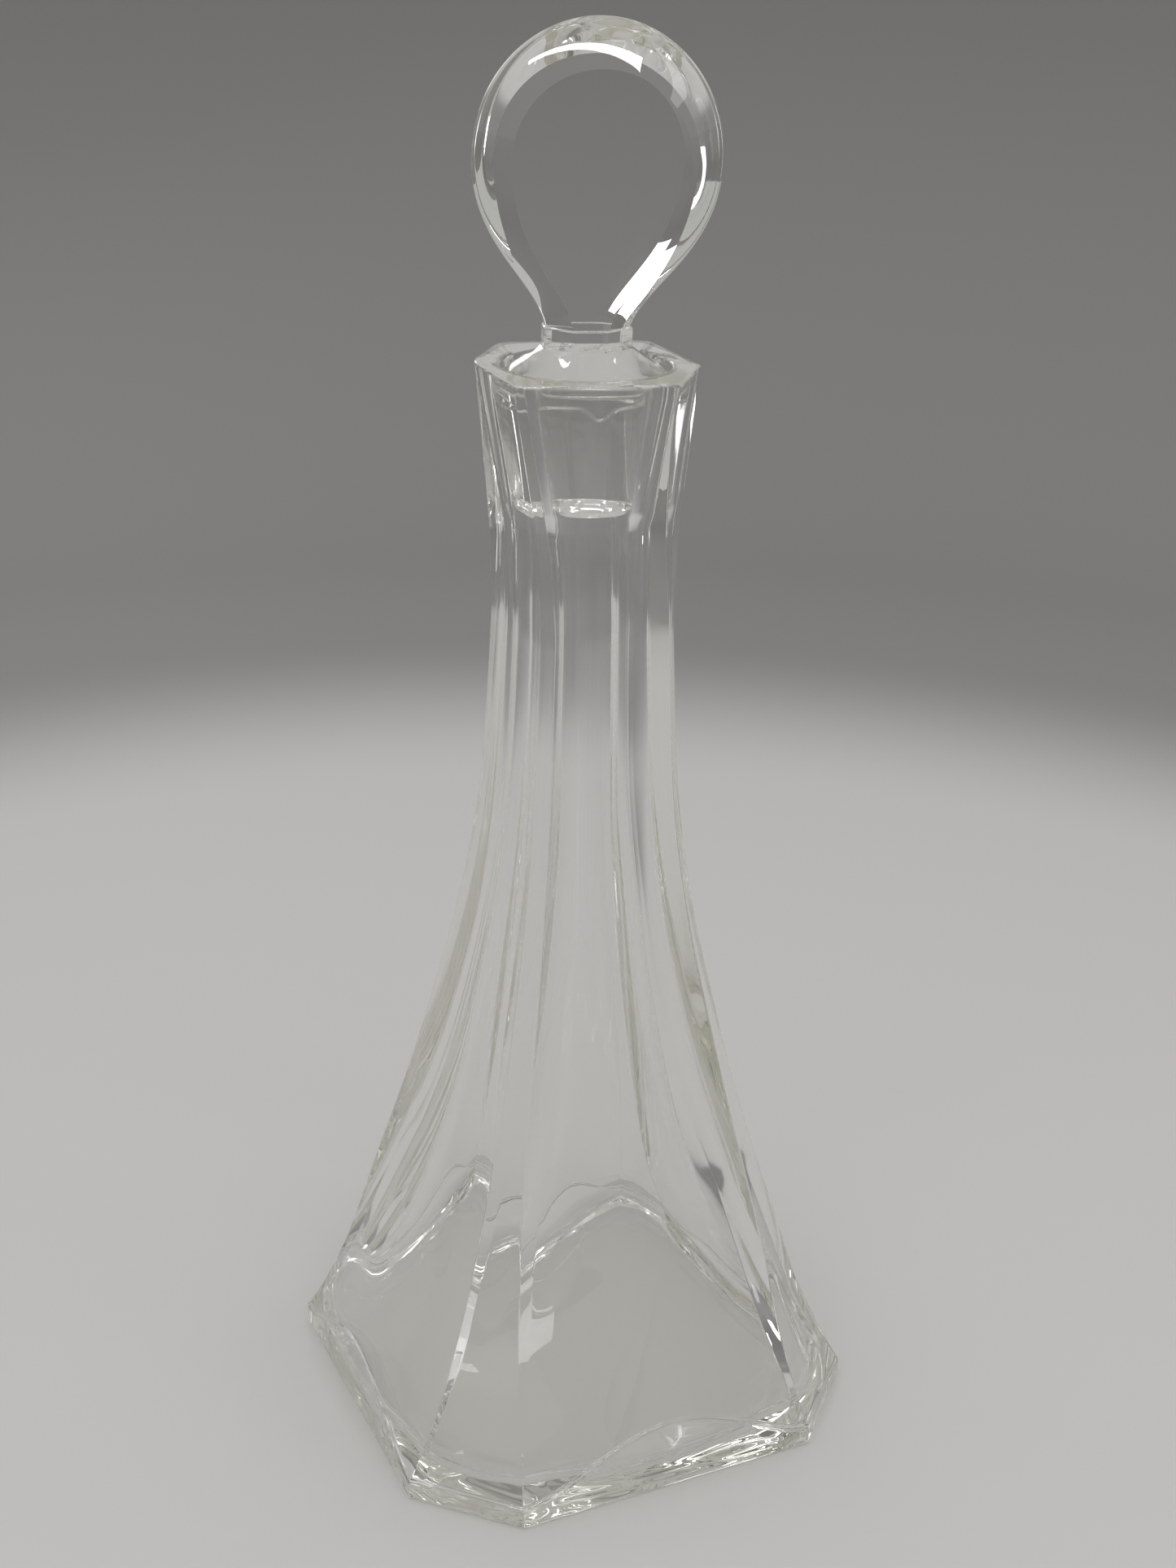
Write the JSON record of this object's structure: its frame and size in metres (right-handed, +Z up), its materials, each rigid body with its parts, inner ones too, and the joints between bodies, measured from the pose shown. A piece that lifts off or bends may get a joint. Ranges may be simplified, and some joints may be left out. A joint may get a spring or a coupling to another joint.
{
  "type": "glass decanter",
  "caption": "Clear glass decanter with a flared faceted body on an eight-sided foot and a solid disc stopper that lifts out of its ground mouth.",
  "frame": {"origin": "middle of the foot, on the surface that the decanter stands on", "axes": "+Z up the neck, -Y out of one wide face of the foot, +X out of the wide face to its right"},
  "size_m": [0.1008, 0.1008, 0.2825],
  "materials": {
    "body_glass": "clear colourless moulded glass, fire polished, with a faint grey-green tint where it is thick",
    "stopper_glass": "clear colourless pressed glass, polished, with a finely ground plug"
  },
  "bodies": {
    "vessel": {"decanter_body": "body_glass"},
    "stopper": {"stopper": "stopper_glass"}
  },
  "joints": [
    {"name": "stopper_lift", "type": "slide", "parent": "vessel", "child": "stopper", "axis": [0, 0, 1], "range_m": [0, 0.06]}
  ]
}
